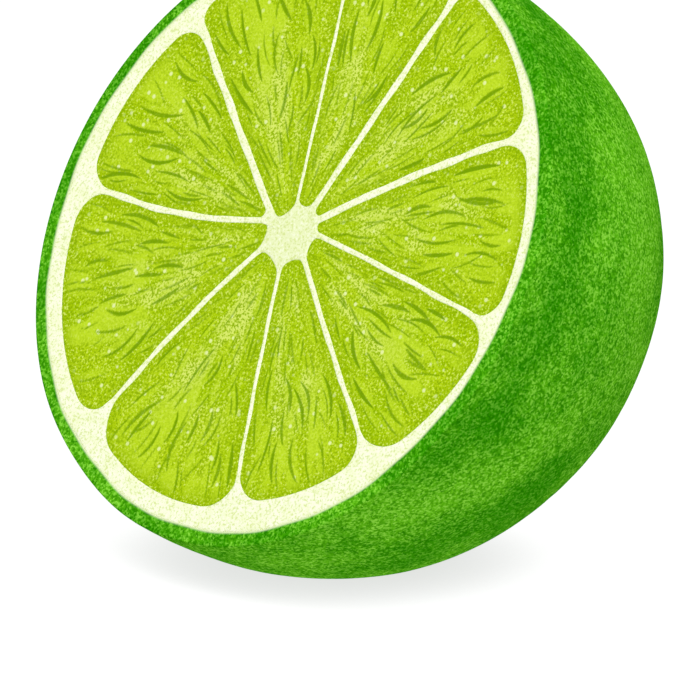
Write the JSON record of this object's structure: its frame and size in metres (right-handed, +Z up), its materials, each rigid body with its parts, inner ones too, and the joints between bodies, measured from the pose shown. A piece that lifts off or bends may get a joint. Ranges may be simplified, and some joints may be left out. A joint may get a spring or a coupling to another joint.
{
  "type": "half lime",
  "caption": "Half of a lime cut across its middle, lying on its round side on a small flat spot with the juicy cut face turned up and outwards.",
  "frame": {"origin": "middle of the half's box, on the surface that it lies on, which is a point of its flat spot", "axes": "+Z up, +X along the width of the cut face, the cut face turned to -Y and 60.7 degrees up from level"},
  "size_m": [0.0498, 0.0414, 0.0476],
  "materials": {
    "rind": "waxy, finely dimpled green skin",
    "pith": "matt, spongy cream pith, core and membranes",
    "pulp": "moist yellow-green juice cells"
  },
  "bodies": {
    "root": {"lime_half": "rind"}
  },
  "joints": []
}
